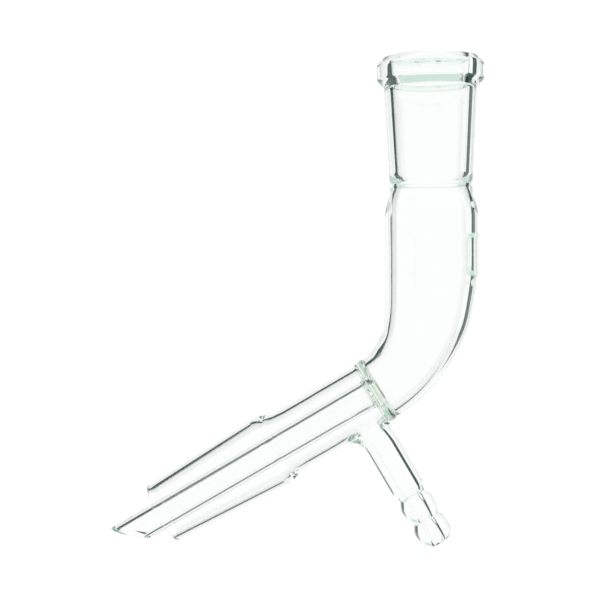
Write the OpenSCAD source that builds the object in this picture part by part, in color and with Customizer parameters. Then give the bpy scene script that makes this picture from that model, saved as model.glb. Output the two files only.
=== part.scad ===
// Vacuum take-off adapter, blown from clear borosilicate glass as one piece.
// It lies on its side: the socket opens along +Y, the plane of symmetry is XY and +Z is up.
// The origin is the centre of the socket's mouth.
// "Depth" is measured down the socket's axis from the mouth. "Reach" is measured down the
// cone's axis from the point where it crosses the socket's axis.

/* [Ground joints] */
// Diameter of both ground joints at the wide end
joint_d = 24; // [23:0.5:26]
// Length of both ground joints
joint_len = 40; // [34:1:42]
// Diameter that both ground joints lose over each millimetre of length
joint_taper = 0.1; // [0.08:0.01:0.12]

/* [Socket] */
// Wall of the socket round its ground bore
socket_wall = 2.6; // [2:0.1:3.2]
// Outer diameter of the bead round the mouth
bead_d = 32.7; // [32:0.1:36]
// Height of the bead
bead_h = 9.3; // [8:0.1:12]
// Chamfer on both edges of the bead
bead_chamfer = 2.2; // [1.2:0.1:2.6]
// Radius of the fillet under the bead
bead_fillet = 0.8; // [0.4:0.1:1.2]
// Depth of the groove that the fused neck leaves outside
neck_groove = 0.25; // [0.1:0.05:0.4]
// Length over which the neck widens to the tube
neck_len = 7; // [5:0.5:9]

/* [Tube and bend] */
// Outer diameter of the tube
tube_d = 28.5; // [27:0.5:31]
// Wall of the tube and of the bend
tube_wall = 2; // [1.5:0.1:2.4]
// Depth at which the socket's axis and the cone's axis cross
bend_depth = 92.6; // [90:0.2:100]
// Angle through which the tube turns
bend_angle = 60; // [50:1:65]
// Radius of the bend at the middle of the tube
bend_r = 33.5; // [30:0.1:36]
// Length of straight tube, above the bend, that already narrows
taper_lead = 6; // [3:0.5:8]

/* [Ring seal] */
// Thickness of the ring that joins the drip tube to the outer wall
seal_t = 1.7; // [1.2:0.1:1.8]
// How far the ring stands proud of the jacket
seal_proud = 0.4; // [0.2:0.1:0.8]

/* [Jacket and cone] */
// Outer diameter of the jacket round the drip tube
jacket_d = 20.4; // [19:0.1:21.4]
// Wall of the jacket
jacket_wall = 2; // [1.5:0.1:2.3]
// Length of the jacket from the ring seal to the cone's shoulder
jacket_len = 34.2; // [32:0.1:45]
// Length of the shoulder between the jacket and the cone
shoulder_len = 3.4; // [2.5:0.1:5]
// Wall of the ground cone
cone_wall = 1.8; // [1.5:0.1:2.2]

/* [Drip tube] */
// Outer diameter of the drip tube
drip_d = 9.4; // [8.5:0.1:10.5]
// Wall of the drip tube
drip_wall = 1.45; // [1:0.05:1.8]
// Length of the funnel between the ring seal and the drip tube
funnel_len = 3.5; // [2.8:0.1:6]
// Radius of the turn from the funnel into the drip tube's bore
funnel_r = 2.8; // [2:0.1:3]
// How far the long side of the tip stands out of the cone
drip_out = 18; // [14:0.5:24]
// Angle between the cut across the tip and the tube's axis
drip_cut = 42; // [35:1:90]

/* [Side arm] */
// Distance from the ring seal's near face to the arm's axis
arm_offset = 7.5; // [7.5:0.1:12]
// Length of the arm from the cone's axis to its end
arm_len = 51; // [48:0.5:60]
// Outer diameter of the arm's stem
arm_d = 10.4; // [9.6:0.1:11]
// Wall of the arm's stem
arm_wall = 1.95; // [1.5:0.05:2.2]
// Width of the flare outside, where the arm leaves the jacket
flare_w = 4.8; // [3:0.1:5.2]
// Width of the flare inside
flare_bore_w = 3.3; // [2.4:0.1:3.4]
// Height of the flare above the jacket
flare_h = 7; // [4:0.1:8]
// Length over which the stem narrows to the first barb
neck_run = 2.8; // [2:0.1:4]

/* [Hose barbs] */
// Number of barbs on the arm
barbs = 2; // [1:1:2]
// Distance from one barb to the next
barb_pitch = 8.5; // [8:0.1:9]
// Diameter of the barbs at their crests
barb_d = 10.8; // [10:0.1:11.5]
// Diameter of the neck before each barb
barb_neck_d = 8.4; // [7.6:0.1:9]
// Length of the cylindrical crest of each barb
barb_land = 1.4; // [1:0.1:2]
// Diameter of the bore through the barbs
barb_bore_d = 3.7; // [3:0.1:4.4]
// Diameter of the bore's mouth
barb_mouth_d = 4.6; // [4.2:0.1:5]

/* [Hidden] */
$fn = 72;
// Sides and rings of the lofted bend and of the flare
loft_sides = 40;
bend_rings = 20;
flare_rings = 6;
// Steps in a curved stretch of a revolved profile
steps = 8;
// Overlap where two solids or two cuts run into each other
lap = 0.6;
// How much smaller a loft is where it runs inside a turned wall
nest = 0.06;
// The flare starts here, in degrees round its quarter arc, so that it meets the wall at an angle
flare_from = 14;
// Slope of the funnel's wall, in degrees from square across the tube
funnel_slope = 37;
// Width and height of the ledge between the bend's wall and the funnel
seal_ledge = 0.3;
// Length of the groove round the neck
groove_len = 1.6;
// Radius of the fire-polished edges
edge_r = 0.5;
// Extra radius of the arm's bore at the first barb
bore_ease = 0.3;

mouth_r = joint_d / 2;
tip_r = mouth_r - joint_len * joint_taper / 2;
socket_r = mouth_r + socket_wall;
neck_r = tip_r + socket_wall;
tube_r = tube_d / 2;
bore_r = tube_r - tube_wall;
jacket_r = jacket_d / 2;
jacket_bore_r = jacket_r - jacket_wall;
drip_r = drip_d / 2;
drip_bore_r = drip_r - drip_wall;
arm_r = arm_d / 2;
arm_bore_r = arm_r - arm_wall;
barb_r = barb_d / 2;
barb_neck_r = barb_neck_d / 2;
barb_bore_r = barb_bore_d / 2;
barb_mouth_r = barb_mouth_d / 2;

tube_from = joint_len + neck_len;
bend_tangent = bend_r * tan(bend_angle / 2);
bend_from = bend_depth - bend_tangent;
taper_from = bend_from - taper_lead;
bend_len = taper_lead + bend_r * bend_angle * PI / 180;
seal_from = bend_tangent;
seal_to = seal_from + seal_t;
cone_from = seal_to + jacket_len + shoulder_len;
cone_to = cone_from + joint_len;
arm_at = seal_from + arm_offset;
drip_to = cone_to + drip_out;
barb_from = arm_len - barbs * barb_pitch;
barb_rise = (barb_pitch - barb_land) * 0.42;
barb_fall = barb_pitch - barb_land - barb_rise;

// Places the children on the cone's axis: reach runs along -Y and the side arm along +X
module on_cone_axis() {
    translate([0, -bend_depth, 0]) rotate([0, 0, -bend_angle]) children();
}

// Turns a profile of [radius, distance] points about -Y
module turned(profile) {
    rotate([90, 0, 0]) rotate_extrude() polygon(profile);
}

// Turns a profile of [radius, distance] points about the side arm's axis
module turned_on_arm(profile) {
    translate([0, -arm_at, 0]) rotate([0, 90, 0]) rotate_extrude() polygon(profile);
}

// Smooth step from 0 to 1
function ease(t) = t * t * (3 - 2 * t);

// S-shaped run between two profile points, level at both ends
function s_run(p, q) = [for (i = [0 : steps])
    [p[0] + (q[0] - p[0]) * ease(i / steps), p[1] + (q[1] - p[1]) * i / steps]];

// Quarter-ellipse run that leaves p across the axis and reaches q along it
function turn_in(p, q) = [for (i = [0 : steps])
    let (a = 90 * i / steps)
    [q[0] + (p[0] - q[0]) * (1 - sin(a)), p[1] + (q[1] - p[1]) * (1 - cos(a))]];

// Quarter-ellipse run that leaves p along the axis and reaches q across it
function turn_out(p, q) = [for (i = [0 : steps])
    let (a = 90 * i / steps)
    [q[0] + (p[0] - q[0]) * cos(a), p[1] + (q[1] - p[1]) * sin(a)]];

// Polyhedron through a list of closed rings, capped at both ends
module loft(rings) {
    n = len(rings[0]);
    last = len(rings) - 1;
    faces = concat(
        [[for (j = [0 : n - 1]) j]],
        [for (i = [0 : last - 1], j = [0 : n - 1])
            [i * n + j, (i + 1) * n + j, (i + 1) * n + (j + 1) % n]],
        [for (i = [0 : last - 1], j = [0 : n - 1])
            [i * n + j, (i + 1) * n + (j + 1) % n, i * n + (j + 1) % n]],
        [[for (j = [n - 1 : -1 : 0]) last * n + j]]);
    polyhedron(points = [for (ring = rings, p = ring) p], faces = faces, convexity = 6);
}

// Angle turned, in degrees, at a distance along the bend from the start of its taper
function turned_at(s) = max(0, min(bend_angle, (s - taper_lead) / bend_r * 180 / PI));

// Middle of the tube at that distance; before and after the bend it runs straight
function middle_at(s) =
    let (a = turned_at(s),
         before = min(0, s - taper_lead),
         after = max(0, s - bend_len))
    [-bend_r * (1 - cos(a)) - after * sin(a),
     -bend_from - before - bend_r * sin(a) - after * cos(a), 0];

// Outer radius of the tube at that distance
function radius_at(s) = tube_r + (jacket_r - tube_r) * ease(max(0, min(1, s / bend_len)));

// Ring of the bend at that distance, with a radius change of grow
function bend_ring(s, grow) =
    let (a = turned_at(s), m = middle_at(s), r = radius_at(s) + grow)
    [for (j = [0 : loft_sides - 1])
        let (f = 360 * j / loft_sides)
        [m[0] + r * cos(f) * cos(a), m[1] - r * cos(f) * sin(a), r * sin(f)]];

// Tapering bend whose surface lies grow outside the tube's outer surface
module bend_loft(grow, lead, tail) {
    loft(concat(
        [bend_ring(-lead, grow - nest)],
        [for (i = [0 : bend_rings]) bend_ring(bend_len * i / bend_rings, grow - nest * (1 - min(1, i)))],
        [bend_ring(bend_len + tail, grow)]));
}

// Saddle-shaped flare between a tube of radius wall_r and an arm of radius stem_r; its top ends
// just under the arm's surface
module flare_loft(wall_r, stem_r, w, h, sink) {
    angles = [for (i = [0 : flare_rings]) flare_from + (90 - flare_from) * i / flare_rings];
    top_r = stem_r - nest;
    function saddle(rho, f) = sqrt(max(0, pow(wall_r, 2) - pow(rho * sin(f), 2)));
    function ring(rho, up) = [for (j = [0 : loft_sides - 1])
        let (f = 360 * j / loft_sides)
        [saddle(rho, f) + up, -arm_at + rho * cos(f), rho * sin(f)]];
    loft(concat(
        [ring(top_r + w * (1 - sin(flare_from)), -sink)],
        [for (a = angles) ring(top_r + w * (1 - sin(a)), h * (1 - cos(a)))]));
}

// Solid round the ground bore: bead, tapering wall, neck and straight tube
module socket_solid() {
    turned(concat(
        [[0, 0], [bead_d / 2 - bead_chamfer, 0], [bead_d / 2, bead_chamfer]],
        [[bead_d / 2, bead_h - bead_chamfer]],
        turn_in([bead_d / 2 - bead_chamfer, bead_h], [socket_r_at(bead_h), bead_h + bead_fillet]),
        [[socket_r_at(joint_len - groove_len), joint_len - groove_len]],
        [[neck_r - neck_groove, joint_len - groove_len / 2]],
        s_run([neck_r, joint_len], [tube_r, tube_from]),
        [[tube_r, taper_from + lap], [0, taper_from + lap]]));
}

// Outer radius of the socket at a depth
function socket_r_at(depth) = socket_r - depth * joint_taper / 2;

// Cut inside the socket: ground bore, neck and straight tube
module socket_cut() {
    turned(concat(
        [[0, -lap], [mouth_r + edge_r, -lap], [mouth_r + edge_r, 0], [mouth_r - edge_r * joint_taper / 2, edge_r]],
        s_run([tip_r, joint_len], [bore_r, tube_from]),
        [[bore_r, taper_from + lap], [0, taper_from + lap]]));
}

// Jacket, shoulder and ground cone, with the ring seal standing proud of the jacket
module jacket_solid() {
    seal_mid = (seal_from + seal_to) / 2;
    seal_half = seal_t * 0.8;
    turned(concat(
        [[0, seal_from - lap], [jacket_r - nest, seal_from - lap]],
        turn_in([jacket_r - nest, seal_mid - seal_half], [jacket_r + seal_proud, seal_mid]),
        turn_out([jacket_r + seal_proud, seal_mid], [jacket_r, seal_mid + seal_half]),
        s_run([jacket_r, cone_from - shoulder_len], [mouth_r, cone_from]),
        [[tip_r + edge_r * joint_taper / 2, cone_to - edge_r], [tip_r - edge_r, cone_to], [0, cone_to]]));
}

// Cut inside the jacket and the cone, beyond the ring seal
module jacket_cut() {
    turned(concat(
        [[0, seal_to], [jacket_bore_r, seal_to]],
        s_run([jacket_bore_r, cone_from - shoulder_len], [mouth_r - cone_wall, cone_from]),
        [[tip_r - cone_wall, cone_to], [tip_r - cone_wall, cone_to + lap], [0, cone_to + lap]]));
}

// Turn from the funnel's slope into a tube of radius tube_r, about a centre in the glass's hollow side
function funnel_run(tube_r, turn_r) = [for (i = [0 : steps])
    let (a = funnel_slope + (90 - funnel_slope) * i / steps)
    [tube_r + turn_r * (1 - sin(a)), seal_to + funnel_len - turn_r * cos(a)]];

// Drip tube that flares into the ring seal, cut slantwise at its tip
module drip_solid() {
    reach = 2 * drip_to;
    difference() {
        turned(concat(
            [[0, seal_to - lap], [jacket_bore_r - edge_r, seal_to - lap]],
            [[jacket_bore_r - edge_r, seal_to - nest]],
            funnel_run(drip_r, funnel_r - drip_wall),
            [[drip_r, drip_to + lap], [0, drip_to + lap]]));
        translate([-drip_r, -drip_to, 0]) rotate([0, 0, -drip_cut])
            translate([0, -reach / 2, -reach / 2]) cube(reach);
    }
}

// Cut from the bend through the funnel and the drip tube to its tip
module drip_cut_bore() {
    dish_r = jacket_bore_r - seal_ledge;
    turned(concat(
        [[0, seal_from - lap], [dish_r, seal_from - lap], [dish_r, seal_from + seal_ledge]],
        funnel_run(drip_bore_r, funnel_r),
        [[drip_bore_r, drip_to + 2 * lap], [0, drip_to + 2 * lap]]));
}

// Rise and crest of a hose barb that starts at y
function barb_rise_run(y) = [for (i = [0 : steps])
    [barb_neck_r + (barb_r - barb_neck_r) * sin(90 * i / steps), y + barb_rise * i / steps]];

// Slope from a barb's crest down to the neck of the next barb
function barb_fall_run(y) = [for (i = [0 : steps - 1])
    [barb_neck_r + (barb_r - barb_neck_r) * cos(90 * i / steps),
     y + barb_rise + barb_land + barb_fall * i / steps]];

// Side arm: stem, hose barbs and a rounded end
module arm_solid() {
    turned_on_arm(concat(
        [[0, 0], [arm_r, 0]],
        s_run([arm_r, barb_from - neck_run], [barb_neck_r + nest, barb_from - nest]),
        [for (k = [0 : 1 : barbs - 2], y = [barb_from + k * barb_pitch],
            p = concat(barb_rise_run(y), barb_fall_run(y))) p],
        barb_rise_run(arm_len - barb_pitch),
        turn_out([barb_r, arm_len - barb_fall], [barb_mouth_r, arm_len]),
        [[0, arm_len]]));
}

// Cut inside the side arm: wide in the stem, narrow through the barbs
module arm_cut() {
    turned_on_arm(concat(
        [[0, jacket_bore_r / 2], [arm_bore_r, jacket_bore_r / 2]],
        s_run([arm_bore_r, barb_from - neck_run], [barb_bore_r + bore_ease, barb_from + neck_run / 2]),
        s_run([barb_bore_r, barb_from + barb_pitch], [barb_mouth_r - edge_r, arm_len]),
        [[barb_mouth_r - edge_r, arm_len + lap], [0, arm_len + lap]]));
}

// The whole adapter
module glass_adapter() {
    color("honeydew", 0.45) difference() {
        union() {
            difference() {
                union() {
                    socket_solid();
                    bend_loft(0, lap, lap);
                    on_cone_axis() {
                        jacket_solid();
                        flare_loft(jacket_r, arm_r, flare_w, flare_h, jacket_wall / 2);
                        arm_solid();
                    }
                }
                on_cone_axis() {
                    jacket_cut();
                    flare_loft(jacket_bore_r, arm_bore_r, flare_bore_w, flare_h + jacket_wall, jacket_wall);
                    arm_cut();
                }
            }
            on_cone_axis() drip_solid();
        }
        socket_cut();
        bend_loft(-tube_wall, 2 * lap, 0);
        on_cone_axis() drip_cut_bore();
    }
}

glass_adapter();
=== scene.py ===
"""Vacuum take-off adapter of clear borosilicate glass, lying on a pale studio floor.

Lengths are millimetres until a mesh is written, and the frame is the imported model's: the socket
opens along +Y, +Z is up, and the origin is the middle of the socket's mouth.
"""

import logging
import math
from dataclasses import dataclass, field
from enum import Enum
from functools import cached_property

import bpy
import numpy as np
from mathutils import Matrix, Vector

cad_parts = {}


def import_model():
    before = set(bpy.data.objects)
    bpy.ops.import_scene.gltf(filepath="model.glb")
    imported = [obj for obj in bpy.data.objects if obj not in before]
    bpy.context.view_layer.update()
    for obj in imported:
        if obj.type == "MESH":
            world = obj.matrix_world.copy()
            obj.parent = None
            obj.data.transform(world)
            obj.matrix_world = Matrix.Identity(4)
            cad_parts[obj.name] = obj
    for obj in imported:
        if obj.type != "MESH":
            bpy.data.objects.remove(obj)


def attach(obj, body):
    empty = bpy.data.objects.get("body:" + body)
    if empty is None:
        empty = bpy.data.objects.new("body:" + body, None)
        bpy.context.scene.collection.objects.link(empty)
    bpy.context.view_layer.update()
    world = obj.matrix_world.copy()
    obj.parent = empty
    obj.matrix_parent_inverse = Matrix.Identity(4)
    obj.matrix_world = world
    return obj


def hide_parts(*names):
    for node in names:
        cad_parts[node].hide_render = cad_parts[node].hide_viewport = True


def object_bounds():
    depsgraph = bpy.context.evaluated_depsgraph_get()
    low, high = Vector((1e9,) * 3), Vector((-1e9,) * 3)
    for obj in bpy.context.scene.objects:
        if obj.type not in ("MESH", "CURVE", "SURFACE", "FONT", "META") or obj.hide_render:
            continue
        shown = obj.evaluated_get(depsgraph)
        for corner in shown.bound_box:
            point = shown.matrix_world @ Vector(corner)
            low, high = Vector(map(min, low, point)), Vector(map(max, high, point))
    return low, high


MM = 0.001
# Longest stretch of a profile, in millimetres.
STEP = 1.5
# Stretches in which the bend's course is summed.
COURSE_STEPS = 2000
# Light crosses many walls of glass before it leaves.
LIGHT_BOUNCES = 32
BOUNCE_LIMITS = (
    "max_bounces",
    "glossy_bounces",
    "transmission_bounces",
    "transparent_max_bounces",
)
LOG = logging.getLogger("adapter")
Array = np.ndarray


class Body(Enum):
    """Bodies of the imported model."""

    ROOT = "root"


class Slot(Enum):
    """Material slots of the record."""

    GLASS = "glass"
    ENAMEL = "enamel"


# ---------------------------------------------------------------- colours and nodes


def srgb(code: str) -> tuple[float, float, float, float]:
    """Turns an sRGB hex value to linear light.

    Args:
        code: Six hex digits.

    Returns:
        Red, green, blue and an alpha of 1.
    """
    parts = [int(code[i : i + 2], 16) / 255 for i in (0, 2, 4)]
    linear = [c / 12.92 if c <= 0.04045 else ((c + 0.055) / 1.055) ** 2.4 for c in parts]
    return (*linear, 1.0)


def add_node(
    tree: bpy.types.NodeTree, kind: str, settings: dict | None = None, links: dict | None = None
) -> bpy.types.Node:
    """Adds one node with its settings and its links.

    Args:
        tree: Node tree that gets the node.
        kind: Blender's name of the node type.
        settings: Input name or index, or "." and a property name, to its value.
        links: Input name or index to the output socket that feeds it.

    Returns:
        The new node.
    """
    node = tree.nodes.new(kind)
    for key, value in (settings or {}).items():
        if isinstance(key, str) and key.startswith("."):
            setattr(node, key[1:], value)
        else:
            node.inputs[key].default_value = value
    for key, source in (links or {}).items():
        tree.links.new(source, node.inputs[key])
    return node


def new_material(name: str) -> tuple[bpy.types.Material, bpy.types.NodeTree, bpy.types.Node]:
    """Makes an empty node material.

    Args:
        name: Name of the finish.

    Returns:
        The material, its tree and its output node.
    """
    material = bpy.data.materials.new(name)
    material.use_nodes = True
    tree = material.node_tree
    tree.nodes.clear()
    return material, tree, tree.nodes.new("ShaderNodeOutputMaterial")


# ---------------------------------------------------------------- curves in a plane


def rounded(points: Array, cuts: Array, steps: int = 6) -> Array:
    """Rounds the corners of an open polyline.

    Each corner is replaced by a quadratic curve from the point cut back along one side to the
    point cut forward along the other, with the corner as its control point.

    Args:
        points: Corners, n by 2. The first and the last stay.
        cuts: Length cut from both sides of each inner corner, n - 2 values.
        steps: Stretches in each curve.

    Returns:
        The rounded polyline.
    """
    points = np.asarray(points, float)
    inner = points[1:-1]
    cut = np.asarray(cuts, float)[:, None]
    back = points[:-2] - inner
    ahead = points[2:] - inner
    start = inner + cut * back / np.linalg.norm(back, axis=1, keepdims=True)
    end = inner + cut * ahead / np.linalg.norm(ahead, axis=1, keepdims=True)
    t = np.linspace(0, 1, steps + 1)[None, :, None]
    curves = (1 - t) ** 2 * start[:, None] + 2 * t * (1 - t) * inner[:, None] + t**2 * end[:, None]
    return np.concatenate([points[:1], curves.reshape(-1, 2), points[-1:]])


def s_run(p: tuple[float, float], q: tuple[float, float], steps: int = 16) -> Array:
    """Runs from p to q with an S-shaped second coordinate, t squared times (3 - 2t).

    Args:
        p: First point.
        q: Last point.
        steps: Stretches in the run.

    Returns:
        The points of the run.
    """
    t = np.linspace(0, 1, steps + 1)
    return np.stack([p[0] + (q[0] - p[0]) * t, p[1] + (q[1] - p[1]) * t * t * (3 - 2 * t)], axis=1)


def refined(points: Array, longest: float) -> Array:
    """Splits the stretches of a polyline so that none is longer than a limit.

    Args:
        points: Polyline, n by 2.
        longest: Longest stretch allowed.

    Returns:
        The finer polyline, through all the old points, with points that coincide dropped.
    """
    length = np.linalg.norm(np.diff(points, axis=0), axis=1)
    keep = np.concatenate([[True], length > 1e-4])
    points = points[keep]
    length = np.linalg.norm(np.diff(points, axis=0), axis=1)
    parts = np.maximum(1, np.ceil(length / longest)).astype(int)
    start = np.repeat(np.arange(len(parts)), parts)
    passed = np.repeat(np.cumsum(parts) - parts, parts)
    share = (np.arange(parts.sum()) - passed) / np.repeat(parts, parts)
    fine = points[start] + share[:, None] * (points[start + 1] - points[start])
    return np.concatenate([fine, points[-1:]])


# ---------------------------------------------------------------- the glass


@dataclass(frozen=True)
class Centreline:
    """Middle of the tube: straight down the socket, round the bend, straight down the cone.

    The bend starts gently and tightens. The angle turned is
    bend_angle * (ease * t + (1 - ease) * t squared), with t from 0 to 1 along the bend.
    """

    bend_depth: float = 92.6
    tangent: float = 19.341
    bend_angle: float = math.radians(60)
    ease: float = 0.4

    def turned(self, t: Array) -> Array:
        """Angle turned at a share t of the bend."""
        return self.bend_angle * (self.ease * t + (1 - self.ease) * t * t)

    @cached_property
    def course(self) -> tuple[Array, Array, Array]:
        """Course of a bend of length 1.

        Returns:
            Shares of the bend, and the sums of the sine and of the cosine of the angle up to each.
        """
        t = np.linspace(0, 1, COURSE_STEPS + 1)
        turned = self.turned(t)
        steps = np.stack([np.sin(turned), np.cos(turned)])
        sums = np.cumsum((steps[:, 1:] + steps[:, :-1]) / 2 / COURSE_STEPS, axis=1)
        sums = np.concatenate([np.zeros((2, 1)), sums], axis=1)
        return t, sums[0], sums[1]

    @cached_property
    def bend_length(self) -> float:
        """Length of the bend that ends on the cone's axis, at the tangent's reach."""
        return self.tangent * math.sin(self.bend_angle) / self.course[1][-1]

    @cached_property
    def bend_from(self) -> float:
        """Station where the bend starts."""
        drop = self.bend_length * self.course[2][-1]
        return self.bend_depth + self.tangent * math.cos(self.bend_angle) - drop

    @property
    def bend_to(self) -> float:
        """Station where the bend ends."""
        return self.bend_from + self.bend_length

    def station(self, reach: float | Array) -> float | Array:
        """Station of a reach down the cone's axis."""
        return self.bend_to + reach - self.tangent

    def frames(self, station: Array) -> tuple[Array, Array]:
        """Works out the middle of the tube and its outward side at each station.

        Args:
            station: Distances along the centreline.

        Returns:
            Middles and unit vectors to the outside of the bend, both in the XY plane.
        """
        t, across, down = self.course
        share = np.clip((station - self.bend_from) / self.bend_length, 0, 1)
        turned = self.turned(share)
        before = np.minimum(0, station - self.bend_from)
        after = np.maximum(0, station - self.bend_to)
        sin, cos = np.sin(turned), np.cos(turned)
        x = -self.bend_length * np.interp(share, t, across) - after * sin
        y = -self.bend_from - before - self.bend_length * np.interp(share, t, down) - after * cos
        return np.stack([x, y], axis=-1), np.stack([cos, -sin], axis=-1)

    def surface(self, station: Array, radius: Array, angle: Array) -> Array:
        """Points round the centreline.

        Point = middle + radius * (cos(angle) * side + sin(angle) * up).

        Args:
            station: Distance along the centreline.
            radius: Distance from the centreline.
            angle: Angle from the outside of the bend towards +Z, in radians.

        Returns:
            Points in millimetres, with one more axis than the inputs.
        """
        station, radius, angle = np.broadcast_arrays(station, radius, angle)
        middle, side = self.frames(station)
        out = (radius * np.cos(angle))[..., None] * side + middle
        return np.concatenate([out, (radius * np.sin(angle))[..., None]], axis=-1)


@dataclass(frozen=True)
class MainTube:
    """Socket, bend, ring seal, jacket, cone and drip tube, as one closed profile swept round."""

    path: Centreline = field(default_factory=Centreline)
    joint_r: float = 12.0
    joint_len: float = 40.0
    taper: float = 0.05
    socket_wall: float = 2.6
    bead_r: float = 16.345
    bead_h: float = 9.3
    chamfer: float = 2.2
    groove: float = 0.25
    neck_from: float = 37.8
    neck_to: float = 49.0
    seat_to: float = 36.2
    tube_r: float = 14.25
    wall: float = 2.0
    taper_from: float = 67.0
    taper_to: float = 105.0
    hump: float = 0.25
    hump_span: tuple[float, float] = (87.0, 109.0)
    flat: float = 0.27
    flat_span: tuple[float, float] = (62.5, 82.0)
    seal_t: float = 1.7
    seal_proud: float = 0.4
    seal_spread: float = 1.4
    seal_lean: float = 0.08
    seal_wave: float = 0.04
    jacket_r: float = 10.2
    jacket_wall: float = 1.8
    jacket_len: float = 34.2
    shoulder: float = 3.4
    shoulder_run: float = 6.2
    cone_wall: float = 1.7
    drip_r: float = 4.7
    drip_wall: float = 1.45
    funnel_len: float = 3.5
    bore_drift: float = 0.05
    drip_draw: float = 0.2
    drip_drift: float = 0.38
    drip_out: float = 18.0
    drip_cut: float = math.radians(42)
    round_turns: int = 128
    window_rows: int = 28
    window_turns: int = 22
    window_out: tuple[float, float] = (20.19, 38.2)
    window_in: tuple[float, float] = (21.55, 36.2)

    @property
    def seal_to(self) -> float:
        """Reach of the ring seal's far face."""
        return self.path.tangent + self.seal_t

    @property
    def cone_from(self) -> float:
        """Reach of the cone's wide end."""
        return self.seal_to + self.jacket_len + self.shoulder

    @property
    def cone_to(self) -> float:
        """Reach of the cone's narrow end."""
        return self.cone_from + self.joint_len

    @property
    def drip_to(self) -> float:
        """Reach of the long side of the drip tube's tip."""
        return self.cone_to + self.drip_out

    def thickened(self, station: Array) -> Array:
        """Thickening of the bend's inside: a squared sine along its span."""
        low, high = self.hump_span
        return self.hump * np.sin(math.pi * np.clip((station - low) / (high - low), 0, 1)) ** 2

    def flattened(self, station: Array) -> Array:
        """Half the flattening of the bend's outside: a squared sine along its span."""
        low, high = self.flat_span
        return self.flat * np.sin(math.pi * np.clip((station - low) / (high - low), 0, 1)) ** 2

    def outer_surface(self, station: Array, angle: Array, lift: float) -> Array:
        """Points a little above the outer wall, whose radius is read off the outer profile.

        Args:
            station: Distances along the centreline.
            angle: Angles from the outside of the bend, in radians.
            lift: Height over the wall in millimetres.

        Returns:
            Points in millimetres.
        """
        wall = self.outer_profile()[0]
        wall = wall[(wall[:, 0] > self.neck_from) & (wall[:, 0] < self.taper_to)]
        radius = np.interp(station, wall[:, 0], wall[:, 1]) + lift
        points = self.path.surface(station, radius, angle)
        points[..., :2] -= self.flattened(station)[..., None] * self.path.frames(station)[1]
        return points

    def outer_radius(self, station: Array) -> Array:
        """Outer radius from the taper's start to the cone's shoulder, with the seal's bulge.

        The taper is an S-shaped step from the tube's radius to the jacket's. The bulge is
        proud * (1 - x^4) on each side of the seal's middle.

        Args:
            station: Distances along the centreline.

        Returns:
            Radii.
        """
        t = np.clip((station - self.taper_from) / (self.taper_to - self.taper_from), 0, 1)
        base = self.tube_r + (self.jacket_r - self.tube_r) * t * t * (3 - 2 * t)
        middle = self.path.station(self.path.tangent + self.seal_t / 2)
        off = np.clip(np.abs(station - middle) / self.seal_spread, 0, 1)
        return base + self.seal_proud * (1 - off**4) - self.flattened(station)

    def outer_profile(self) -> tuple[Array, int]:
        """Outer wall from the mouth to the cone's end, as [station, radius].

        Returns:
            The points, and the index at which the side arm's window starts.
        """
        s = self.path.station
        out_r = self.joint_r + self.socket_wall
        seam = self.neck_from
        mouth = rounded(
            np.array(
                [
                    [0.45, self.joint_r - 0.03],
                    [0.0, self.joint_r + 0.1],
                    [0.0, self.bead_r - self.chamfer],
                    [self.chamfer, self.bead_r],
                    [self.bead_h - self.chamfer, self.bead_r],
                    [self.bead_h, out_r - self.bead_h * self.taper],
                    [seam, out_r - seam * self.taper],
                ]
            ),
            np.array([0.08, 0.6, 0.6, 0.6, 0.5]),
        )[1:]
        neck = np.concatenate(
            [
                mouth[:-1],
                rounded(
                    np.array(
                        [
                            [seam, out_r - seam * self.taper],
                            [seam + 0.8, out_r - self.joint_len * self.taper - self.groove],
                            [seam + 1.6, out_r - self.joint_len * self.taper],
                        ]
                    ),
                    np.array([0.5]),
                ),
                s_run(
                    (seam + 1.6, out_r - self.joint_len * self.taper),
                    (self.neck_to, self.tube_r),
                ),
            ]
        )
        low, high = s(self.window_out[0]), s(self.window_out[1])
        bump_from = s(self.path.tangent + self.seal_t / 2 - self.seal_spread)
        ease = np.sin(np.linspace(0.12, 0.95, 10) * math.pi / 2) ** 2
        bead = bump_from + (low - bump_from) * ease
        bend = np.concatenate([np.linspace(self.path.bend_from, bump_from, 36), bead])
        bend_r = self.outer_radius(bend) + self.thickened(bend)
        before = refined(np.concatenate([neck, np.stack([bend, bend_r], axis=1)]), STEP)
        window = np.linspace(low, high, self.window_rows + 1)
        window = np.stack([window, self.outer_radius(window)], axis=1)
        tip_r = self.joint_r - self.joint_len * self.taper
        after = np.concatenate(
            [
                [window[-1]],
                s_run(
                    (s(self.cone_from - self.shoulder_run), self.jacket_r),
                    (s(self.cone_from), self.joint_r),
                ),
                rounded(
                    np.array(
                        [
                            [s(self.cone_from), self.joint_r],
                            [s(self.cone_to), tip_r],
                            [s(self.cone_to), tip_r - self.cone_wall],
                            [s(self.cone_to) - 2, tip_r - self.cone_wall + 2 * self.taper],
                        ]
                    ),
                    np.array([0.6, 0.6]),
                )[1:],
            ]
        )
        return np.concatenate([before, window, refined(after, STEP)[1:]]), len(before)

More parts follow.
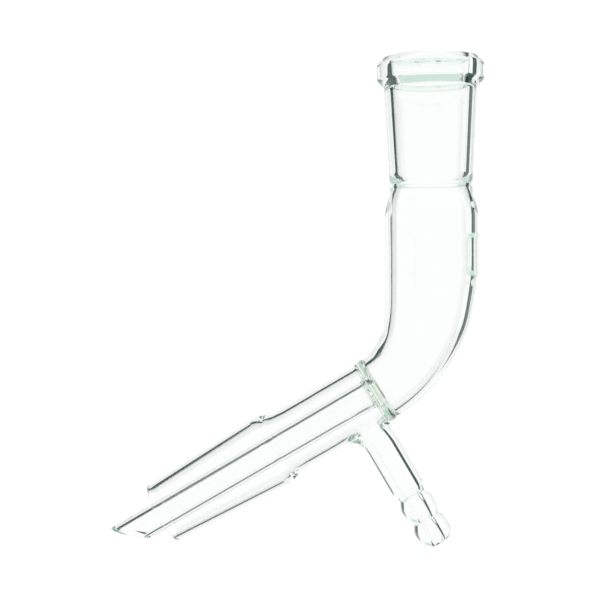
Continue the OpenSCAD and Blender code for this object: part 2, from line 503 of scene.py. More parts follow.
    def inner_profile(self) -> tuple[Array, int, Array, Array]:
        """Inner walls from the cone's end to the mouth, as [station, radius].

        Returns:
            The points, the index at which the side arm's window ends, how much each point leans
            with the slanted cut of the drip tube's tip, and how far each has drifted off the axis.
        """
        s = self.path.station
        tip_r = self.joint_r - self.joint_len * self.taper - self.cone_wall
        bore_r = self.jacket_r - self.jacket_wall
        wide_r = self.joint_r - self.cone_wall
        cone = np.concatenate(
            [
                [[s(self.cone_to) - 2.5, tip_r + 2.5 * self.taper]],
                rounded(
                    np.array(
                        [
                            [s(self.cone_from) + 6, wide_r - 6 * self.taper],
                            [s(self.cone_from) + 0.2, wide_r - 0.02],
                            [s(self.cone_from) - 1.6, wide_r - 0.62],
                            [s(self.cone_from) - 3.4, wide_r - 0.86],
                            [s(self.cone_from) - 5.4, bore_r + 0.24],
                            [s(self.cone_from) - 8.5, bore_r],
                            [s(self.cone_from) - 10.0, bore_r],
                        ]
                    ),
                    np.array([0.7, 0.7, 0.7, 0.9, 1.4]),
                ),
                [[s(self.window_in[1]) + 0.4, bore_r]],
            ]
        )
        high, low = s(self.window_in[1]), s(self.window_in[0])
        window = np.linspace(high, low, self.window_rows + 1)
        window = np.stack([window, np.full_like(window, bore_r)], axis=1)
        face = s(self.seal_to)
        turn = s(self.seal_to + self.funnel_len)
        reach_to = s(self.drip_to)
        funnel_out = rounded(
            np.array(
                [
                    [low, bore_r],
                    [face - 0.15, bore_r],
                    [face - 0.15, self.drip_r + 0.9],
                    [face + 1.3, self.drip_r],
                    [turn + 3, self.drip_r],
                ]
            ),
            np.array([0.3, 0.4, 1.0]),
            8,
        )[1:]
        drip_bore = self.drip_r - self.drip_wall
        tip = rounded(
            np.array(
                [
                    [turn + 3, self.drip_r],
                    [reach_to, self.drip_r - self.drip_draw],
                    [reach_to, drip_bore - self.drip_draw],
                    [turn + 3, drip_bore],
                ]
            ),
            np.array([0.7, 0.7]),
            8,
        )
        tangent = s(self.path.tangent)
        funnel_in = rounded(
            np.array(
                [
                    [turn + 3, drip_bore],
                    [face + 0.3, drip_bore],
                    [tangent + 0.15, drip_bore + 0.9],
                    [tangent + 0.15, self.jacket_r - self.wall],
                    [tangent - 2.5, self.jacket_r - self.wall],
                ]
            ),
            np.array([0.6, 0.4, 0.4]),
            8,
        )
        bend = np.linspace(tangent - 2.6, self.path.bend_from, 36)
        bend_r = self.outer_radius(bend) - self.wall
        seat_r = self.joint_r - self.seat_to * self.taper
        throat_r = self.tube_r - self.wall
        socket = np.concatenate(
            [
                np.stack([bend, bend_r], axis=1),
                rounded(
                    np.array(
                        [
                            [self.neck_to, throat_r],
                            [self.neck_to - 2.8, throat_r - 0.02],
                            [self.neck_to - 5.6, throat_r - 0.5],
                            [self.neck_to - 9.0, throat_r - 1.3],
                            [self.seat_to, seat_r],
                            [self.seat_to - 2.5, seat_r + 2.5 * self.taper],
                        ]
                    ),
                    np.array([1.3, 1.3, 1.3, 1.0]),
                ),
                [[0.45, self.joint_r - 0.03]],
            ]
        )
        before = refined(cone, STEP)
        leaning = refined(tip, STEP)
        lower = refined(funnel_out, STEP)
        upper = refined(np.concatenate([funnel_in[:-1], socket]), STEP)
        points = np.concatenate([before[:-1], window, lower[:-1], leaning[:-1], upper])
        share = np.clip((leaning[:-1, 0] - (reach_to - 26)) / 25.0, 0, 1)
        lean, drift = np.zeros(len(points)), np.zeros(len(points))
        first = len(before) - 1 + len(window) + len(lower) - 1
        lean[first : first + len(share)] = share
        along = (leaning[:-1, 0] - leaning[0, 0]) / (reach_to - leaning[0, 0])
        drift[first : first + len(share)] = self.drip_drift * along
        off_arm = np.clip((before[:-1, 0] - s(self.window_in[1])) / 6, 0, 1)
        drift[: len(before) - 1] = self.bore_drift * off_arm * off_arm * (3 - 2 * off_arm)
        return points, len(before) - 1 + len(window) - 1, lean, drift

    def seal_uneven(self, profile: Array, angle: Array, first: int) -> Array:
        """How the fused disc of the ring seal leans and ripples.

        shift = -lean * r sin(a) + wave * (sin(19 a + 3 r) + sin(27 a - 2 r)) / 2, both fading
        out towards the jacket's wall and down the drip tube.

        Args:
            profile: The whole profile, as [station, radius].
            angle: Angles of the sweep, in radians.
            first: Number of the first row past the side arm's window.

        Returns:
            Shifts along the centreline, rows by turns.
        """
        s, r = profile[:, :1], profile[:, 1:]
        face, back = self.path.station(self.seal_to), self.path.station(self.path.tangent)
        past_window = (np.arange(len(s)) > first)[:, None]
        near = np.clip(1 - np.maximum(s - face, back - s) / 4, 0, 1) * past_window
        inward = np.clip((self.jacket_r - self.jacket_wall + 0.1 - r) / 2, 0, 1)
        ripple = (np.sin(19 * angle + 3 * r) + np.sin(27 * angle - 2 * r)) / 2
        rough = self.seal_wave * inward * np.clip((r - self.drip_r) / 1.5, 0, 1)
        return near * (rough * ripple - self.seal_lean * (0.5 + 0.5 * inward) * r * np.sin(angle))

    def grid(self) -> tuple[Array, Array, Array]:
        """Sweeps the whole closed profile round the centreline.

        Returns:
            Points, rows by turns by 3, and the vertex numbers of the outer and of the inner
            window, both with the reach rising along the first axis and the angle along the second.
        """
        outer, out_at = self.outer_profile()
        inner, in_at, lean, drift = self.inner_profile()
        profile = np.concatenate([outer[:-1], inner[:-1]])
        leans = np.concatenate([np.zeros(len(outer) - 1), lean[:-1]])
        drifts = np.concatenate([-self.thickened(outer[:-1, 0]), drift[:-1]])
        angle = np.arange(self.round_turns) * 2 * math.pi / self.round_turns
        across = profile[:, 1:] * np.cos(angle)
        station = profile[:, :1] - leans[:, None] / math.tan(self.drip_cut) * (across + self.drip_r)
        station = station + self.seal_uneven(profile, angle, len(outer) - 1 + in_at)
        radius = np.broadcast_to(profile[:, 1:], station.shape)
        points = self.path.surface(station, radius, angle[None, :])
        drifts = drifts - self.flattened(profile[:, 0])
        points[..., :2] += drifts[:, None, None] * self.path.frames(station)[1]
        turns = np.arange(-self.window_turns, self.window_turns + 1) % self.round_turns
        rows = np.arange(self.window_rows + 1)
        out_ids = (out_at + rows)[:, None] * self.round_turns + turns
        in_ids = (len(outer) - 1 + in_at - rows)[:, None] * self.round_turns + turns
        return points, out_ids, in_ids


@dataclass(frozen=True)
class SideArm:
    """Side arm: a flare out of the jacket, a stem, two hose barbs and the bore back in."""

    at: float = 27.05
    length: float = 50.83
    stem_r: float = 5.35
    bore_r: float = 3.05
    flare_far: float = 4.6
    flare_near: float = 1.2
    flare_side: float = 3.2
    flare_top: float = 16.0
    bore_far: float = 4.2
    bore_near: float = 1.6
    bore_side: float = 2.6
    bore_top: float = 16.5
    barb_r: float = 5.55
    neck_r: float = 4.2
    pitch: float = 8.5
    land: float = 1.4
    barb_bore: float = 1.85
    mouth_r: float = 2.3
    neck_run: float = 2.8
    flare_rows: int = 14
    foot_rows: int = 5

    def outer_profile(self) -> Array:
        """Outer wall of the arm: stem, barbs and rounded end.

        Returns:
            The points, as [height, radius].
        """
        rise = (self.pitch - self.land) * 0.42
        fall = self.pitch - self.land - rise
        first = self.length - 2 * self.pitch
        quarter = np.linspace(0, math.pi / 2, 9)
        step = self.barb_r - self.neck_r
        share = quarter / (math.pi / 2)
        top = rise + self.land
        up = np.stack([rise * share, self.neck_r + step * np.sin(quarter)], axis=1)
        down = np.stack([top + fall * share, self.neck_r + step * np.cos(quarter)], axis=1)
        last = self.length - self.pitch
        end = np.stack(
            [
                last + rise + self.land + fall * np.sin(quarter),
                self.mouth_r + (self.barb_r - self.mouth_r) * np.cos(quarter),
            ],
            axis=1,
        )
        return np.concatenate(
            [
                [[self.flare_top, self.stem_r]],
                s_run((first - self.neck_run, self.stem_r), (first - 0.1, self.neck_r + 0.1), 8),
                up + [first, 0],
                down[:-1] + [first, 0],
                up + [last, 0],
                end,
            ]
        )

    def inner_profile(self) -> Array:
        """Bore from its mouth back to the inner flare.

        Returns:
            The points, as [height, radius].
        """
        first = self.length - 2 * self.pitch
        mouth = self.mouth_r - 0.5
        eased = self.barb_bore + 0.3
        turn = first + self.neck_run / 2
        return np.concatenate(
            [
                [
                    [self.length - 0.02, self.mouth_r - 0.25],
                    [self.length - 0.2, mouth + 0.05],
                    [self.length - 0.5, mouth],
                ],
                s_run((first + self.pitch, self.barb_bore), (turn, eased), 8),
                s_run((turn - 0.1, eased), (first - self.neck_run, self.bore_r), 8),
                [[self.bore_top, self.bore_r]],
            ]
        )

    def rows(self, tube: MainTube) -> tuple[Array, Array]:
        """Builds the flares, the stem, the barbs and the bore as one grid.

        Each row has one point for each vertex on the rim of the tube's window. A foot row lies on
        the tube's wall, on an ellipse-like ring round the arm's axis. A flare row runs on a cubic
        curve from the foot, where it leaves along the wall, to the stem, where it arrives along
        the arm. The other rows are circles round the arm's axis.

        Args:
            tube: Main tube, for its walls.

        Returns:
            Points, rows by rim vertices by 3, and the rim as pairs of window row and turn.
        """
        rim = window_rim(tube.window_rows, 2 * tube.window_turns)
        path = tube.path
        base, side = path.frames(np.array(path.station(self.at)))
        along = np.array([-math.sin(path.bend_angle), -math.cos(path.bend_angle), 0.0])
        out = np.array([side[0], side[1], 0.0])
        up = np.array([0.0, 0.0, 1.0])
        centre = np.array([base[0], base[1], 0.0])
        step = 2 * math.pi / tube.round_turns

        def foot(
            span: tuple[float, float],
            wall_r: float,
            radius: float,
            far: float,
            near: float,
            wide: float,
        ) -> tuple[Array, Array, Array]:
            """Lays out the foot of a flare on the unrolled wall.

            ring = radius + wide * sin^2 + (far or near) * cos^2, along the direction of each rim
            vertex from the arm's axis.

            Args:
                span: Reach of the window's two ends.
                wall_r: Radius of the wall.
                radius: Radius of the stem or the bore.
                far: Width of the flare towards the cone's tip.
                near: Width of the flare towards the ring seal.
                wide: Width of the flare sideways.

            Returns:
                Angle of each rim vertex, its place, and its place on the foot's ring.
            """
            reach = span[0] + (span[1] - span[0]) * rim[:, 0] / tube.window_rows
            turn = (rim[:, 1] - tube.window_turns) * step
            angle = np.arctan2(turn * wall_r, reach - self.at)
            edge = np.stack([reach - self.at, turn * wall_r], axis=1)
            cos, sin = np.cos(angle), np.sin(angle)
            grow = radius + wide * sin**2 + np.where(cos > 0, far, near) * cos**2
            ring = np.stack([grow * cos, grow * sin], axis=1)
            return angle, edge, ring

        def on_wall(flat: Array, wall: float) -> tuple[Array, Array]:
            """Rolls places on the unrolled wall back onto it.

            Args:
                flat: Places from the arm's axis, along the jacket and round it.
                wall: Depth under the outer wall.

            Returns:
                Points, and their angles round the jacket.
            """
            station = path.station(flat[..., 0] + self.at)
            radius = tube.outer_radius(station) - wall
            nominal = tube.jacket_r - wall
            turn = flat[..., 1] / nominal
            return path.surface(station, radius, turn), turn

        def flare(ring: Array, angle: Array, wall: float, radius: float, top: float) -> Array:
            """Runs cubic curves from the foot's ring up to the stem.

            Args:
                ring: Places of the foot on the unrolled wall.
                angle: Angle of each place round the arm's axis.
                wall: Depth under the outer wall.
                radius: Radius of the stem or the bore.
                top: Height at which the curves end.

            Returns:
                Points, rows by rim vertices by 3.
            """
            start, turn = on_wall(ring, wall)
            cos, sin = np.cos(angle)[:, None], np.sin(angle)[:, None]
            round_ = -np.sin(turn)[:, None] * out + np.cos(turn)[:, None] * up
            inward = -(cos * along + sin * round_)
            end = centre + top * out + radius * (cos * along + sin * up)
            reach = np.linalg.norm(end - start, axis=1, keepdims=True)
            t = np.linspace(0, 1, self.flare_rows + 1)[1:, None, None]
            p1, p2 = start + 0.42 * reach * inward, end - 0.5 * reach * out
            ends = (1 - t) ** 3 * start + t**3 * end
            return ends + 3 * t * (1 - t) ** 2 * p1 + 3 * t**2 * (1 - t) * p2

        def circles(profile: Array, angle: Array) -> Array:
            """Turns a profile round the arm's axis.

            Args:
                profile: Points as [height, radius].
                angle: Angles round the axis, one row for all the points or one row for each.

            Returns:
                Points, rows by rim vertices by 3.
            """
            ring = np.cos(angle)[..., None] * along + np.sin(angle)[..., None] * up
            return centre + profile[:, :1, None] * out + profile[:, 1:, None] * ring

        widths = (self.flare_far, self.flare_near, self.flare_side)
        angle_out, edge, ring = foot(tube.window_out, tube.jacket_r, self.stem_r, *widths)
        t = np.linspace(0, 1, self.foot_rows + 1)[1:, None, None]
        foot_out = on_wall(edge + t * (ring - edge), 0.0)[0]
        flare_out = flare(ring, angle_out, 0.0, self.stem_r, self.flare_top)
        stem = circles(refined(self.outer_profile(), STEP)[1:], angle_out)

        bore_wall = tube.jacket_wall
        widths = (self.bore_far, self.bore_near, self.bore_side)
        wall_r = tube.jacket_r - bore_wall
        angle_in, edge_in, ring_in = foot(tube.window_in, wall_r, self.bore_r, *widths)
        profile = refined(self.inner_profile(), STEP)
        share = np.linspace(0, 1, len(profile))[:, None]
        bore = circles(profile, angle_out + share * (np.unwrap(angle_in) - np.unwrap(angle_out)))
        flare_in = flare(ring_in, angle_in, bore_wall, self.bore_r, self.bore_top)[::-1][1:]
        foot_in = on_wall(ring_in + (t * (edge_in - ring_in))[:-1], bore_wall)[0]
        start_in = on_wall(ring_in, bore_wall)[0][None]
        return np.concatenate([foot_out, flare_out, stem, bore, flare_in, start_in, foot_in]), rim


def window_rim(rows: int, turns: int) -> Array:
    """Lists the rim of a rectangular window in a grid, once round.

    Args:
        rows: Stretches along the first axis.
        turns: Stretches along the second axis.

    Returns:
        Pairs of row and turn.
    """
    i, j = np.arange(rows), np.arange(turns)
    return np.concatenate(
        [
            np.stack([i, np.zeros_like(i)], axis=1),
            np.stack([np.full_like(j, rows), j], axis=1),
            np.stack([rows - i, np.full_like(i, turns)], axis=1),
            np.stack([np.zeros_like(j), turns - j], axis=1),
        ]
    )


def quads(ids: Array, wrap_rows: bool = False, wrap_turns: bool = False) -> Array:
    """Joins neighbouring vertices of a grid of vertex numbers into quads.

    Args:
        ids: Vertex numbers, rows by turns.
        wrap_rows: Whether the last row joins the first.
        wrap_turns: Whether the last turn joins the first.

    Returns:
        Quads, rows by turns by 4.
    """
    if wrap_rows:
        ids = np.concatenate([ids, ids[:1]])
    if wrap_turns:
        ids = np.concatenate([ids, ids[:, :1]], axis=1)
    return np.stack([ids[:-1, :-1], ids[:-1, 1:], ids[1:, 1:], ids[1:, :-1]], axis=-1)


def make_mesh(name: str, points: Array, faces: Array) -> bpy.types.Object:
    """Writes a smooth mesh, with its unused vertices dropped and its faces turned outwards.

    The signed volume, a sixth of the sum of each triangle's corner products, says which way the
    faces point.

    Args:
        name: Name of the piece.
        points: Vertices in millimetres, n by 3.
        faces: Quads of vertex numbers, m by 4.

    Returns:
        The object, at the origin.
    """
    used, flat = np.unique(faces, return_inverse=True)
    faces, points = flat.reshape(faces.shape), points[used]
    a, b, c, d = (points[faces[:, k]] for k in range(4))
    volume = (np.cross(a, b) * c).sum() + (np.cross(a, c) * d).sum()
    if volume < 0:
        faces = faces[:, ::-1]
    mesh = bpy.data.meshes.new(name)
    mesh.from_pydata((points * MM).tolist(), [], faces.tolist())
    mesh.polygons.foreach_set("use_smooth", np.ones(len(faces), bool))
    mesh.update()
    piece = bpy.data.objects.new(name, mesh)
    bpy.context.scene.collection.objects.link(piece)
    return piece


@dataclass(frozen=True)
class GlassBody:
    """The whole blown adapter as one closed mesh."""

    tube: MainTube = field(default_factory=MainTube)
    arm: SideArm = field(default_factory=SideArm)

    def build(self) -> bpy.types.Object:
        """Joins the swept tube and the side arm at the two windows.

        Returns:
            The glass piece.
        """
        grid, out_ids, in_ids = self.tube.grid()
        rows, turns = grid.shape[:2]
        faces = quads(np.arange(rows * turns).reshape(rows, turns), True, True)
        taken = np.zeros((rows, turns), bool)
        for ids in (out_ids, in_ids):
            low = np.minimum(ids[:-1, :-1] // turns, ids[1:, :-1] // turns)
            taken[low, ids[:-1, :-1] % turns] = True
        body = faces[~taken]
        arm, rim = self.arm.rows(self.tube)
        first, last = out_ids[rim[:, 0], rim[:, 1]], in_ids[rim[:, 0], rim[:, 1]]
        new = rows * turns + np.arange(arm.shape[0] * arm.shape[1]).reshape(arm.shape[:2])
        joint = quads(np.concatenate([first[None], new, last[None]]), False, True).reshape(-1, 4)
        points = np.concatenate([grid.reshape(-1, 3), arm.reshape(-1, 3)])
        return make_mesh("glass_adapter_blown", points, np.concatenate([body, joint[:, ::-1]]))


@dataclass(frozen=True)
class EnamelMark:
    """One plain mark of fired enamel, a thin layer on the outside of the tube.

    depth and turn place its middle, in millimetres down the tube and degrees from the outer side
    of the bend; length runs along the tube and spread is half its angle.
    """

    name: str
    depth: float
    turn: float
    length: float
    spread: float
    roundness: float
    cells: int = 24
    lift: float = 0.02
    thickness: float = 0.05

    def build(self, tube: MainTube) -> bpy.types.Object:
        """Lays a rounded rectangle on the tube and gives it a thickness.

        A square grid (u, v) is rounded to u * sqrt(1 - k v^2 / 2), v * sqrt(1 - k u^2 / 2), which
        is a disc for k = 1, and then wrapped round the tube.

        Args:
            tube: Main tube, for its wall.

        Returns:
            The enamel piece.
        """
        u, v = np.meshgrid(*[np.linspace(-1, 1, self.cells + 1)] * 2, indexing="ij")
        along = u * np.sqrt(1 - self.roundness * v * v / 2)
        round_ = v * np.sqrt(1 - self.roundness * u * u / 2)
        station = self.depth + along * self.length / 2
        angle = np.radians(self.turn + round_ * self.spread)
        top = tube.outer_surface(station, angle, self.lift + self.thickness)
        under = tube.outer_surface(station, angle, self.lift)
        side = self.cells + 1
        ids = np.arange(side * side).reshape(side, side)
        rim = window_rim(self.cells, self.cells)
        edge = ids[rim[:, 0], rim[:, 1]]
        faces = [quads(ids).reshape(-1, 4), quads(ids + side * side).reshape(-1, 4)[:, ::-1]]
        wall = quads(np.stack([edge, edge + side * side]), False, True)
        faces.append(wall.reshape(-1, 4)[:, ::-1])
        points = np.concatenate([top.reshape(-1, 3), under.reshape(-1, 3)])
        return make_mesh(self.name, points, np.concatenate(faces))


@dataclass(frozen=True)
class EnamelFrame:
    """A plain rectangular frame of fired enamel, a thin band on the outside of the tube.

    depth places its middle, in millimetres down the tube, on the outer side of the bend; length
    runs along the tube, spread is half its angle in degrees, bar is the width of the band and
    square how square its corners are.
    """

    name: str
    depth: float
    length: float
    spread: float
    bar: float
    square: float = 6.0
    around: int = 96
    across: int = 4
    lift: float = 0.02
    thickness: float = 0.05

    def build(self, tube: MainTube) -> bpy.types.Object:
        """Lays the frame on the tube.

        Its outline is the superellipse |u|^p + |v|^p = 1, and the band runs from it inwards by the
        same width all round.

        Args:
            tube: Main tube, for its wall.

        Returns:
            The enamel piece.
        """
        phi = np.arange(self.around) * 2 * math.pi / self.around
        powers = np.abs(np.cos(phi)) ** self.square + np.abs(np.sin(phi)) ** self.square
        size = powers ** (-1 / self.square)
        inset = np.linspace(0, self.bar, self.across + 1)[:, None]
        half_turn = math.radians(self.spread)
        station = self.depth + size * np.cos(phi) * (self.length / 2 - inset)
        angle = size * np.sin(phi) * (half_turn - inset / tube.tube_r)
        top = tube.outer_surface(station, angle, self.lift + self.thickness)
        under = tube.outer_surface(station, angle, self.lift)[::-1]
        points = np.concatenate([top, under])
        ids = np.arange(points.shape[0] * points.shape[1]).reshape(points.shape[:2])
        return make_mesh(self.name, points.reshape(-1, 3), quads(ids, True, True).reshape(-1, 4))


# ---------------------------------------------------------------- finishes


@dataclass(frozen=True)
class ClearGlass:
    """Borosilicate 3.3 glass, drawn and flame-worked.

    The flame leaves a perfectly smooth skin, so it is as clear as a lens. Only long ways through
    the glass, such as the bead, show its faint green. At the ring seal, where two walls were fused
    hot, a thin slab of it is greenish, streaked and not quite clear: seam_half is half the slab's
    thickness, seam_edge its soft edge and seam_streak the size of a streak, in millimetres.
    """

    tube: MainTube
    name: str = "borosilicate_glass_flame_polished"
    # Typical of borosilicate 3.3, a little under window glass.
    ior: float = 1.473
    colour: str = "FFFFFF"
    tint: str = "00DBAA"
    density: float = 4.0
    shadow: str = "F0F4F2"
    seam: str = "DDEADB"
    seam_dark: str = "C4D8C4"
    seam_half: float = 0.48
    seam_edge: float = 0.12
    seam_streak: float = 0.7
    seam_rough: float = 0.12

    def make(self) -> bpy.types.Material:
        """Makes the glass, with a pale shadow in place of a black one.

        A point lies in the seam's slab where |n . p - away| is less than half its thickness, with n
        the seal's axis, which leans as the seal does.

        Returns:
            The material.
        """
        material, tree, output = new_material(self.name)
        path = self.tube.path
        seal = np.array(path.station(path.tangent + self.tube.seal_t / 2))
        middle = path.frames(seal)[0] * MM
        turned = path.bend_angle
        normal = Vector((-math.sin(turned), -math.cos(turned), self.tube.seal_lean))
        away = normal.x * middle[0] + normal.y * middle[1]
        place = add_node(tree, "ShaderNodeTexCoord").outputs["Object"]
        along = add_node(
            tree,
            "ShaderNodeVectorMath",
            {".operation": "DOT_PRODUCT", 1: tuple(normal)},
            {0: place},
        ).outputs["Value"]
        past = add_node(tree, "ShaderNodeMath", {".operation": "SUBTRACT", 1: away}, {0: along})
        off = add_node(tree, "ShaderNodeMath", {".operation": "ABSOLUTE"}, {0: past.outputs[0]})
        half, edge = self.seam_half * MM, self.seam_edge * MM
        seam = add_node(
            tree,
            "ShaderNodeMapRange",
            {".interpolation_type": "SMOOTHSTEP", "From Min": half + edge, "From Max": half - edge},
            {"Value": off.outputs[0]},
        )
        streak = add_node(
            tree,
            "ShaderNodeTexNoise",
            {"Scale": 1 / (self.seam_streak * MM), "Detail": 2.0},
            {"Vector": place},
        )
        fused = add_node(
            tree,
            "ShaderNodeMix",
            {".data_type": "RGBA", 6: srgb(self.seam_dark), 7: srgb(self.seam)},
            {0: streak.outputs[0]},
        )
        colour = add_node(
            tree,
            "ShaderNodeMix",
            {".data_type": "RGBA", 6: srgb(self.colour)},
            {0: seam.outputs[0], 7: fused.outputs[2]},
        )
        rough = add_node(
            tree,
            "ShaderNodeMath",
            {".operation": "MULTIPLY", 1: self.seam_rough},
            {0: seam.outputs[0]},
        )
        glass = add_node(
            tree,
            "ShaderNodeBsdfPrincipled",
            {"IOR": self.ior, "Transmission Weight": 1.0},
            {"Base Color": colour.outputs[2], "Roughness": rough.outputs[0]},
        )
        clear = add_node(tree, "ShaderNodeBsdfTransparent", {"Color": srgb(self.shadow)})
        rays = add_node(tree, "ShaderNodeLightPath")
        light = add_node(
            tree,
            "ShaderNodeMath",
            {".operation": "MAXIMUM"},
            {0: rays.outputs["Is Shadow Ray"], 1: rays.outputs["Is Diffuse Ray"]},
        )
        mix = add_node(
            tree,
            "ShaderNodeMixShader",
            {},
            {0: light.outputs[0], 1: glass.outputs[0], 2: clear.outputs[0]},
        )
        body = add_node(
            tree, "ShaderNodeVolumeAbsorption", {"Color": srgb(self.tint), "Density": self.density}
        )
        tree.links.new(mix.outputs[0], output.inputs["Surface"])
        tree.links.new(body.outputs[0], output.inputs["Volume"])
        return material


@dataclass(frozen=True)
class FiredEnamel:
    """White marking enamel, screened on and fired.

    It is chalky and half dull, with a fine grain where it lies thin. The real grain is finer than
    can be seen, and is drawn as coarse as it needs to show.
    """

    name: str = "fired_marking_enamel"
    colour: str = "DEE6E0"
    thin: str = "CCD8D0"
    grain_mm: float = 0.5
    roughness: float = 0.55
    # Typical of a glassy enamel.
    ior: float = 1.5

    def make(self) -> bpy.types.Material:
        """Makes the enamel.

        Returns:
            The material.
        """
        material, tree, output = new_material(self.name)
        place = add_node(tree, "ShaderNodeTexCoord")
        grain = add_node(
            tree,
            "ShaderNodeTexNoise",
            {"Scale": 1 / (self.grain_mm * MM), "Detail": 3.0},
            {"Vector": place.outputs["Object"]},
        )
        colour = add_node(
            tree,
            "ShaderNodeMix",
            {".data_type": "RGBA", 6: srgb(self.thin), 7: srgb(self.colour)},
            {0: grain.outputs[0]},
        )
        paint = add_node(
            tree,
            "ShaderNodeBsdfPrincipled",
            {"Roughness": self.roughness, "IOR": self.ior},
            {"Base Color": colour.outputs[2]},
        )
        tree.links.new(paint.outputs[0], output.inputs["Surface"])
        return material


# ---------------------------------------------------------------- studio


class Seen(Enum):
    """Light in which a card shows.

    THROWN is light that a wall has reflected, and PASSED is light that only went through.
    """

    THROWN = "thrown"
    PASSED = "passed"


@dataclass(frozen=True)
class Card:
    """One card round the light table.

    Each edge is a plane through the glass, given by its normal: a direction lies on the card where
    its product with every normal is positive.
    """

    edges: tuple[tuple[float, float, float], ...]
    colour: str = "193C34"
    seen: Seen = Seen.THROWN


@dataclass(frozen=True)
class Sky:
    """What the rays that leave the glass meet: a bright table, with cards standing round it.

    The dark cards draw the thin dark lines along the tubes: the thrown ones their outer half, and
    the passed ones the inner half and the edge of the side arm. A pale green card behind the mouth
    tints the thick bead. The room over the table is hardly dimmer than the table.

    The cards are a device for this object's looks and no plan of a real studio, whose cards would
    show in thrown and in passed light alike. They stand still in the room, whatever the camera
    does, and the camera and diffuse light never meet them.
    """

    table: str = "FFFFFF"
    room: str = "FAFCFB"
    soft: float = 0.025
    # Heights of a ray, as the sine of its slope, over which the cards and the room fade in.
    cards_fade: tuple[float, float] = (-0.2, -0.4)
    room_fade: tuple[float, float] = (0.0, 0.2)
    cards: tuple[Card, ...] = (
        Card(
            ((0.0, 1.0, 0.42), (0.0, -1.0, -0.75), (1.0, 0.0, -0.45), (-1.0, 0.0, -0.45)),
            "CDE4D8",
            Seen.PASSED,
        ),
        Card(((-1.0, 0.0, 0.42), (0.0, 1.0, 0.26), (-1.4, -1.0, -0.1)), "2A443C", Seen.PASSED),
        Card(((0.0, -1.0, 1.0), (1.0, 0.0, 0.0)), "5E6868"),
        Card(((1.0, 0.0, 0.54), (-1.0, 0.0, -1.12), (0.0, 1.0, -0.54))),
        Card(((1.0, 0.0, 0.54), (0.0, 1.0, 0.2))),
        Card(((-1.0, 0.0, 0.62), (-0.67, 1.0, 0.68))),
        Card(((0.0, 1.0, 0.62), (-1.0, 0.0, 0.05))),
        Card(((1.0, 0.0, 0.84), (0.0, 1.0, -0.5), (0.0, -1.0, -0.6)), "52685F", Seen.PASSED),
    )

    def make(self) -> None:
        """Builds the world.

        A card covers a ray by the product of one soft step for each of its edges.
        """
        world = bpy.data.worlds.new("studio_sky")
        bpy.context.scene.world = world
        world.use_nodes = True
        tree = world.node_tree
        tree.nodes.clear()
        output = tree.nodes.new("ShaderNodeOutputWorld")
        ray = add_node(tree, "ShaderNodeTexCoord").outputs["Generated"]
        height = add_node(tree, "ShaderNodeSeparateXYZ", {}, {0: ray}).outputs[2]
        path = add_node(tree, "ShaderNodeLightPath").outputs

        sums = "ShaderNodeMath"
        step = {".interpolation_type": "SMOOTHSTEP"}
        colours = {".data_type": "RGBA"}
        white = srgb(self.table)
        links = {0: path["Glossy Depth"]}
        thrown = add_node(tree, sums, {".operation": "GREATER_THAN", 1: 0.5}, links)
        passed = add_node(tree, sums, {".operation": "SUBTRACT", 0: 1.0}, {1: thrown.outputs[0]})
        shown = {Seen.THROWN: thrown.outputs[0], Seen.PASSED: passed.outputs[0]}
        below, over = (
            add_node(
                tree,
                "ShaderNodeMapRange",
                step | {"From Min": low, "From Max": high},
                {"Value": height},
            ).outputs[0]
            for low, high in (self.cards_fade, self.room_fade)
        )
        seen = add_node(
            tree, "ShaderNodeMix", colours | {6: white, 7: srgb(self.room)}, {0: over}
        ).outputs[2]
        for card in self.cards:
            links = {0: below, 1: shown[card.seen]}
            cover = add_node(tree, sums, {".operation": "MULTIPLY"}, links).outputs[0]
            for edge in card.edges:
                side = add_node(
                    tree, "ShaderNodeVectorMath", {".operation": "DOT_PRODUCT", 1: edge}, {0: ray}
                )
                inside = add_node(
                    tree,
                    "ShaderNodeMapRange",
                    step | {"From Min": -self.soft, "From Max": self.soft},
                    {"Value": side.outputs["Value"]},
                )
                links = {0: cover, 1: inside.outputs[0]}
                cover = add_node(tree, sums, {".operation": "MULTIPLY"}, links).outputs[0]
            links = {0: cover, 6: seen}
            seen = add_node(
                tree, "ShaderNodeMix", colours | {7: srgb(card.colour)}, links
            ).outputs[2]
        links = {0: path["Is Camera Ray"], 1: path["Is Diffuse Ray"]}
        plain = add_node(tree, sums, {".operation": "MAXIMUM"}, links).outputs[0]
        links = {0: plain, 6: seen}
        colour = add_node(tree, "ShaderNodeMix", colours | {7: white}, links).outputs[2]
        light = add_node(tree, "ShaderNodeBackground", {"Strength": 1.0}, {0: colour})
        tree.links.new(light.outputs[0], output.inputs["Surface"])


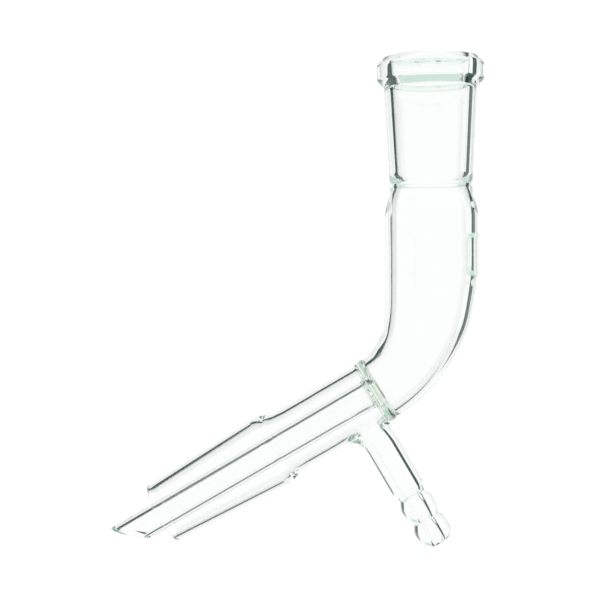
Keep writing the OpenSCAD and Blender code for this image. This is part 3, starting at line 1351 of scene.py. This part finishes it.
@dataclass(frozen=True)
class Floor:
    """Pale studio floor, evenly lit, that keeps a faint shadow."""

    name: str = "studio_floor"
    half: float = 2.0
    colour: str = "F4F4F4"
    shade: float = 0.12

    def build(self, height: float) -> bpy.types.Object:
        """Lays the floor.

        Rays that come through the glass or off it pass the floor and meet the sky below.

        Args:
            height: Height of the floor in metres.

        Returns:
            The floor.
        """
        signs = [(-1, -1), (1, -1), (1, 1), (-1, 1)]
        corners = [(x * self.half, y * self.half, height) for x, y in signs]
        mesh = bpy.data.meshes.new(self.name)
        mesh.from_pydata(corners, [], [(0, 1, 2, 3)])
        piece = bpy.data.objects.new(self.name, mesh)
        bpy.context.scene.collection.objects.link(piece)
        material, tree, output = new_material("matt_paper_sweep")
        path = add_node(tree, "ShaderNodeLightPath")
        paper = add_node(tree, "ShaderNodeBsdfDiffuse", {"Color": srgb(self.colour)})
        glow = add_node(tree, "ShaderNodeEmission", {"Color": srgb("FFFFFF"), "Strength": 1.0})
        clear = add_node(tree, "ShaderNodeBsdfTransparent")
        lit = add_node(
            tree,
            "ShaderNodeMixShader",
            {0: self.shade},
            {1: glow.outputs[0], 2: paper.outputs[0]},
        )
        shown = add_node(
            tree,
            "ShaderNodeMixShader",
            {},
            {0: path.outputs["Is Camera Ray"], 1: paper.outputs[0], 2: lit.outputs[0]},
        )
        past = add_node(
            tree,
            "ShaderNodeMath",
            {".operation": "MAXIMUM"},
            {0: path.outputs["Is Glossy Ray"], 1: path.outputs["Is Transmission Ray"]},
        )
        mix = add_node(
            tree,
            "ShaderNodeMixShader",
            {},
            {0: past.outputs[0], 1: shown.outputs[0], 2: clear.outputs[0]},
        )
        tree.links.new(mix.outputs[0], output.inputs["Surface"])
        mesh.materials.append(material)
        return piece


@dataclass(frozen=True)
class Lamp:
    """Soft box over the table."""

    name: str
    place: tuple[float, float, float]
    size: float
    power: float

    def build(self) -> None:
        """Hangs the lamp and turns it to the middle of the adapter."""
        light = bpy.data.lights.new(self.name, "AREA")
        light.shape = "SQUARE"
        light.size, light.energy = self.size, self.power
        lamp = bpy.data.objects.new(self.name, light)
        lamp.visible_glossy = lamp.visible_transmission = False
        bpy.context.scene.collection.objects.link(lamp)
        aim = Vector((-0.04, -0.08, 0.0)) - Vector(self.place)
        turn = aim.to_track_quat("-Z", "Y").to_matrix().to_4x4()
        lamp.matrix_world = Matrix.Translation(self.place) @ turn


@dataclass(frozen=True)
class View:
    """Camera over the table, nearly straight down."""

    place: tuple[float, float, float] = (0.0, -0.06, 0.44)
    turn: tuple[float, float, float] = (-2.904, 7.664, -0.74)
    angle: float = 23.936
    shift: tuple[float, float] = (0.0963, 0.0421)

    def build(self) -> None:
        """Sets the camera up."""
        camera = bpy.data.cameras.new("camera")
        camera.angle = math.radians(self.angle)
        camera.shift_x, camera.shift_y = self.shift
        camera.clip_start, camera.clip_end = 0.01, 20.0
        piece = bpy.data.objects.new("camera", camera)
        piece.location = self.place
        piece.rotation_euler = [math.radians(a) for a in self.turn]
        bpy.context.scene.collection.objects.link(piece)
        bpy.context.scene.camera = piece


def main() -> None:
    """Builds and reports every piece."""
    logging.basicConfig(level=logging.INFO, format="%(name)s: %(message)s")
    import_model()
    cad_box = [list(corner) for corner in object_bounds()]
    View().build()
    Sky().make()
    Lamp("soft_box_top", (-0.30, 0.20, 0.60), 0.5, 6.0).build()

    body = GlassBody()
    glass = body.build()
    glass.data.materials.append(ClearGlass(body.tube).make())
    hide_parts("glass_adapter")
    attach(glass, Body.ROOT.value)
    LOG.info("%s: %d faces", glass.name, len(glass.data.polygons))

    enamel = FiredEnamel().make()
    marks = [
        EnamelFrame("enamel_frame", 60.6, 13.0, 27.0, 1.5),
        EnamelMark("enamel_dot_upper", 45.6, 25.0, 2.0, 5.5, 1.0, 12),
        EnamelMark("enamel_dot_lower", 68.6, 25.0, 2.0, 5.5, 1.0, 12),
    ]
    for mark in marks:
        piece = mark.build(body.tube)
        piece.data.materials.append(enamel)
        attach(piece, Body.ROOT.value)
        LOG.info("%s: %d faces", piece.name, len(piece.data.polygons))

    floor = Floor().build(cad_box[0][2])
    LOG.info("%s: at %.4f m", floor.name, cad_box[0][2])

    bpy.context.scene.view_settings.view_transform = "Standard"
    for limit in BOUNCE_LIMITS:
        setattr(bpy.context.scene.cycles, limit, LIGHT_BOUNCES)


if __name__ == "__main__":
    main()
